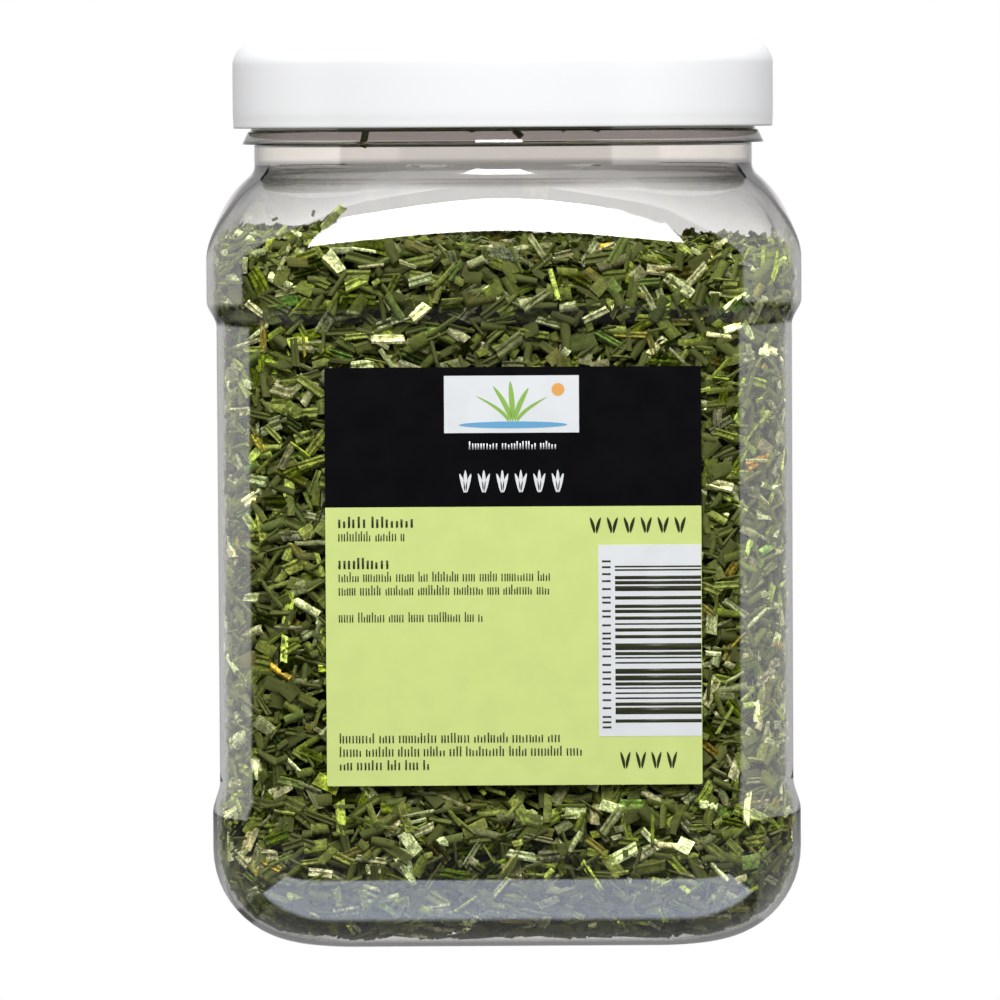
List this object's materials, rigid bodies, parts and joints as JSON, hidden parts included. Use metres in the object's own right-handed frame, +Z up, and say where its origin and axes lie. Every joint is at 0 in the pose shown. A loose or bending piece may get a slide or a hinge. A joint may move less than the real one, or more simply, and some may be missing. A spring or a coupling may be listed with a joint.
{
  "type": "jar of dried chives",
  "caption": "Clear rounded-square food jar with a white screw lid and a printed front label, filled with dried chopped chives.",
  "frame": {"origin": "centre of the foot, on the surface that the jar stands on", "axes": "+Z up along the axis of the neck and lid; -Y out of the labelled face; +X to the right of someone who faces the label"},
  "size_m": [0.0978, 0.0978, 0.1494],
  "materials": {
    "clear_plastic": "gloss",
    "white_plastic": "gloss",
    "sealing_wad": "matte",
    "printed_label": "satin",
    "dried_chives": "matte"
  },
  "bodies": {
    "jar": {"jar_body": "clear_plastic", "label": "printed_label", "chives": "dried_chives"},
    "liner": {"lid_liner": "sealing_wad"},
    "lid": {"lid": "white_plastic"}
  },
  "joints": [
    {"name": "lid_lift", "type": "slide", "parent": "jar", "child": "liner", "axis": [0, 0, 1], "range_m": [0, 0.0051]},
    {"name": "lid_turn", "type": "hinge", "parent": "liner", "child": "lid", "pos_m": [0, 0, 0.1469], "axis": [0, 0, 1], "range_deg": [0, 360]}
  ],
  "couplings": [
    {"joint": "lid_lift", "follows": "lid_turn", "m_per_rad": 0.00080851}
  ]
}
